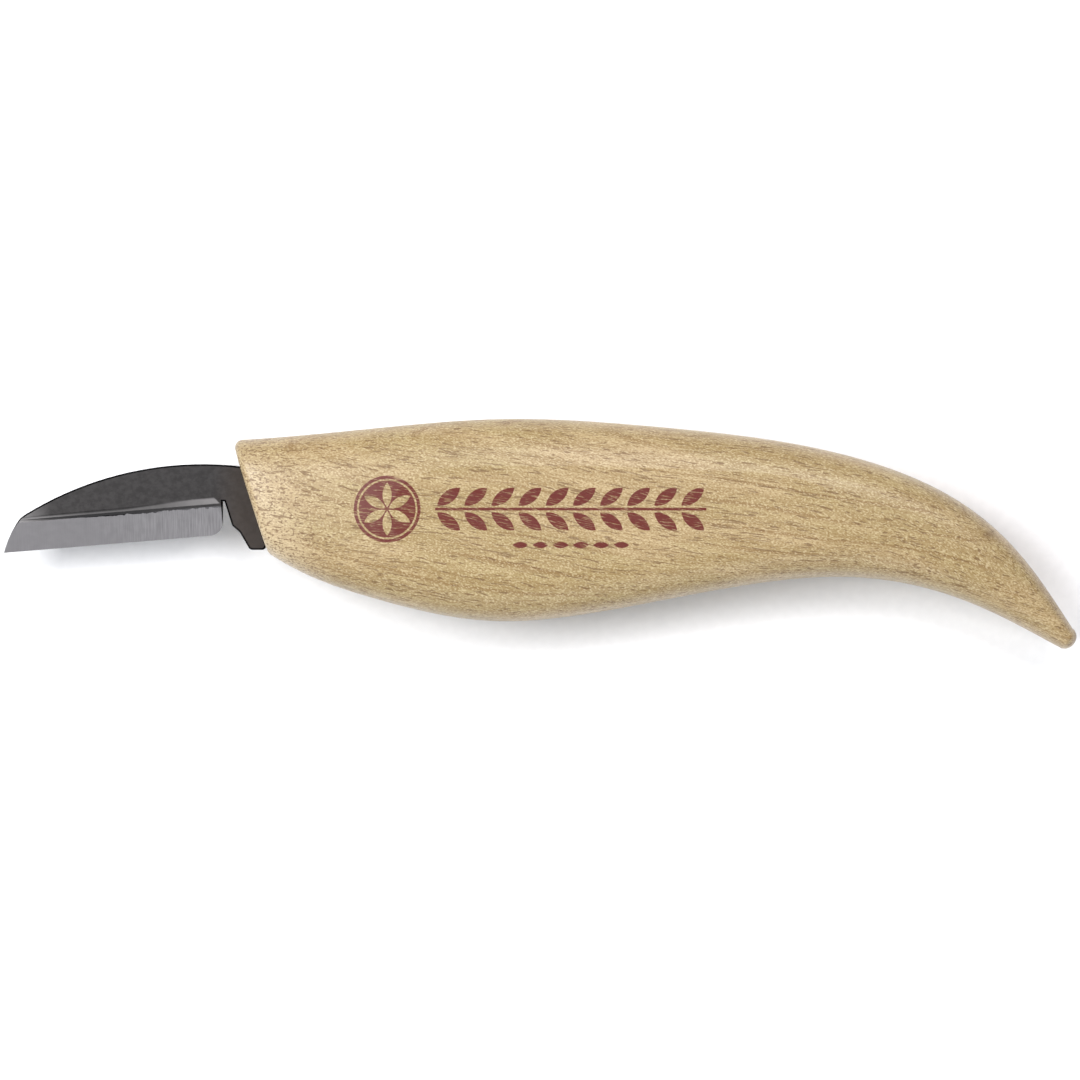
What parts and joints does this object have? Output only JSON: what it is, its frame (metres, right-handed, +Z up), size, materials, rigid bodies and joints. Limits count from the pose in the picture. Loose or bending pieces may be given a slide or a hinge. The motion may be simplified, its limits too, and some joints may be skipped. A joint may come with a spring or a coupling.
{
  "type": "lino cutter",
  "caption": "Fixed-blade cutter: a short straight-edged steel blade with a necked heel, glued into a curved ash handle with a tapering tail.",
  "frame": {"origin": "centre of the flat cheek that the cutter lies on, under the handle's widest section", "axes": "+X along the handle from the blade to the tail, +Y from the cutting edge to the back, +Z up from the cheek it lies on"},
  "size_m": [0.1716, 0.0368, 0.02],
  "materials": {
    "ash_wood": "satin clear lacquer over sanded ash",
    "blade_steel": "dark hardened flats with a bright ground bevel",
    "cured_epoxy": "amber cured resin"
  },
  "bodies": {
    "root": {"handle": "ash_wood", "blade": "blade_steel", "tang_glue": "cured_epoxy"}
  },
  "joints": []
}
